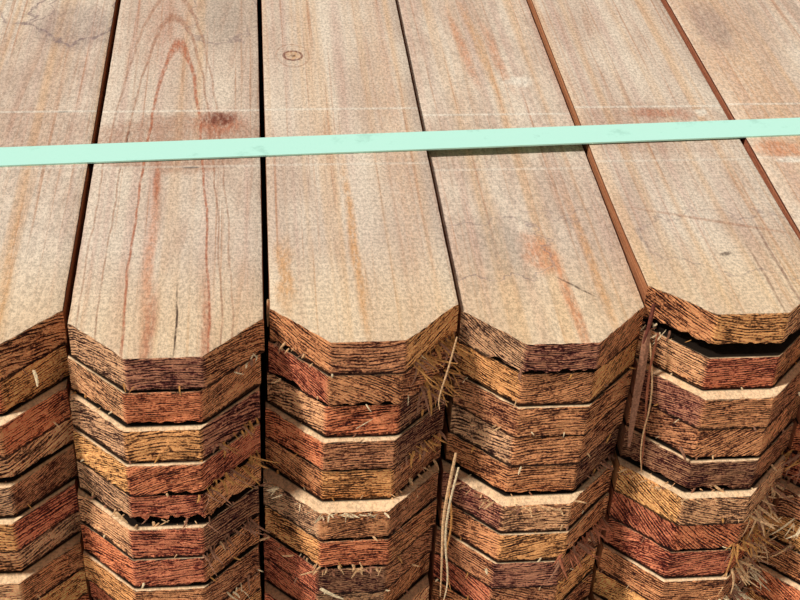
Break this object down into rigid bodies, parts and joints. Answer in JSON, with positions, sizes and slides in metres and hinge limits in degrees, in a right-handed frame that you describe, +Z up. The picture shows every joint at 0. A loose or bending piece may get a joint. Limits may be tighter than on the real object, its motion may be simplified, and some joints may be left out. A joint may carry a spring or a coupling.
{
  "type": "stack of lumber",
  "caption": "strapped bundle of dog-ear softwood fence pickets, stacked flat in columns and held by plastic strapping",
  "frame": {"origin": "on the floor, under the middle of the bundle", "axes": "+Z up; the pickets run along Y with their dog-ear ends at -Y; the columns stand side by side along X"},
  "size_m": [0.9164, 1.8535, 0.3263],
  "materials": {
    "picket_wood": "rough-sawn, unfinished",
    "strap_plastic": "satin"
  },
  "bodies": {
    "root": {"pickets_layer_01": "picket_wood", "pickets_layer_02": "picket_wood", "pickets_layer_03": "picket_wood", "pickets_layer_04": "picket_wood", "pickets_layer_05": "picket_wood", "pickets_layer_06": "picket_wood", "pickets_layer_07": "picket_wood", "pickets_layer_08": "picket_wood", "pickets_layer_09": "picket_wood", "pickets_layer_10": "picket_wood", "pickets_layer_11": "picket_wood", "pickets_layer_12": "picket_wood", "pickets_layer_13": "picket_wood", "pickets_layer_14": "picket_wood", "pickets_layer_15": "picket_wood", "pickets_layer_16": "picket_wood", "strap_front": "strap_plastic", "strap_rear": "strap_plastic"}
  },
  "joints": []
}
